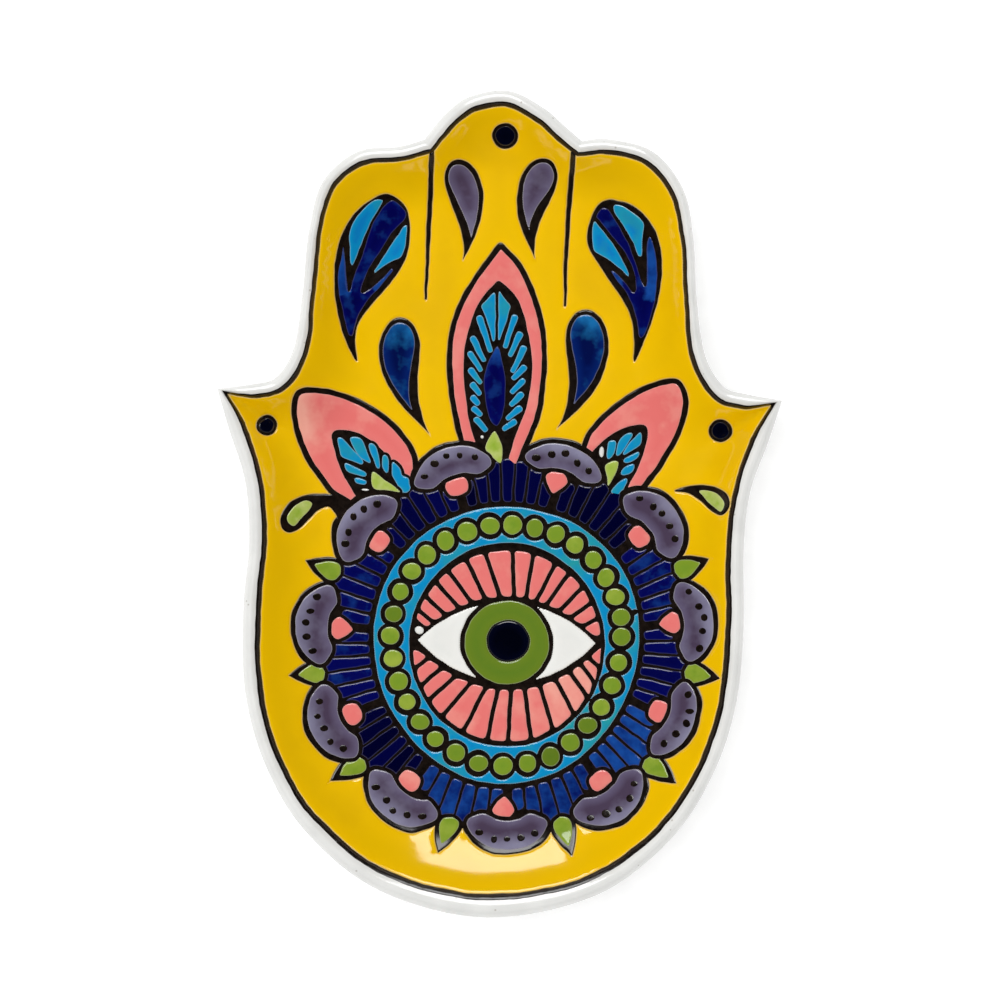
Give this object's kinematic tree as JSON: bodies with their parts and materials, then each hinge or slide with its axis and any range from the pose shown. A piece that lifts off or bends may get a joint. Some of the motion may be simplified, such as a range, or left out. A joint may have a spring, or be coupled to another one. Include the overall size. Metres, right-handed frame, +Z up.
{
  "type": "hamsa trinket dish",
  "caption": "Shallow hand-shaped ceramic trinket dish with a raised white rim, black resist lines and coloured glaze cells round an eye medallion.",
  "frame": {"origin": "on the surface that the dish rests on, under the middle of its length and width", "axes": "+Z up out of the dish, +Y from the wrist end towards the fingers, +X to the right seen from above"},
  "size_m": [0.1096, 0.1602, 0.014],
  "materials": {
    "fired_body": "white glazed earthenware, glossy",
    "black_line": "black resist line, satin to glossy",
    "yellow_glaze": "opaque yellow glaze, glossy",
    "lilac_glaze": "lilac glaze, glossy, mottled",
    "pink_glaze": "pink glaze, glossy",
    "navy_glaze": "deep navy glaze, glossy",
    "blue_glaze": "cobalt blue glaze, glossy",
    "cyan_glaze": "turquoise blue glaze, glossy",
    "green_glaze": "leaf green glaze, glossy",
    "pale_green_glaze": "pale green glaze, glossy",
    "eye_white_glaze": "white glaze, glossy"
  },
  "bodies": {
    "root": {"dish_body": "fired_body", "border_line": "black_line", "yellow_field": "yellow_glaze", "medallion_lines": "black_line", "finger_dot": "navy_glaze", "left_thumb_dot": "navy_glaze", "right_thumb_dot": "navy_glaze", "lilac_drop_left": "lilac_glaze", "lilac_drop_left_line": "black_line", "blue_drop_left": "blue_glaze", "blue_drop_left_line": "black_line", "feather_plume_left": "navy_glaze", "feather_vanes_left": "cyan_glaze", "feather_line_left": "black_line", "curled_leaf_left": "pale_green_glaze", "lilac_drop_right": "lilac_glaze", "lilac_drop_right_line": "black_line", "blue_drop_right": "blue_glaze", "blue_drop_right_line": "black_line", "feather_plume_right": "navy_glaze", "feather_vanes_right": "cyan_glaze", "feather_line_right": "black_line", "curled_leaf_right": "pale_green_glaze", "curled_leaf_right_line": "black_line", "lotus_band_centre": "pink_glaze", "lotus_leaf_centre": "pale_green_glaze", "lotus_feathers_centre": "cyan_glaze", "lotus_band_left": "pink_glaze", "lotus_leaf_left": "pale_green_glaze", "lotus_feathers_left": "cyan_glaze", "lotus_band_right": "pink_glaze", "lotus_leaf_right": "pale_green_glaze", "lotus_feathers_right": "cyan_glaze", "lotus_core": "navy_glaze", "lilac_scallop_1": "lilac_glaze", "lilac_scallop_2": "lilac_glaze", "lilac_scallop_3": "lilac_glaze", "lilac_scallop_4": "lilac_glaze", "lilac_scallop_5": "lilac_glaze", "lilac_scallop_6": "lilac_glaze", "lilac_scallop_7": "lilac_glaze", "lilac_scallop_8": "lilac_glaze", "lilac_scallop_9": "lilac_glaze", "lilac_scallop_10": "lilac_glaze", "lilac_scallop_11": "lilac_glaze", "leaf_1": "green_glaze", "leaf_2": "green_glaze", "leaf_3": "green_glaze", "leaf_4": "green_glaze", "leaf_5": "green_glaze", "leaf_6": "green_glaze", "leaf_7": "green_glaze", "leaf_8": "green_glaze", "navy_fans": "navy_glaze", "green_beads": "green_glaze", "cyan_ring": "cyan_glaze", "eye_white": "eye_white_glaze", "iris": "green_glaze", "pupil": "navy_glaze", "eye_rays": "pink_glaze"}
  },
  "joints": []
}
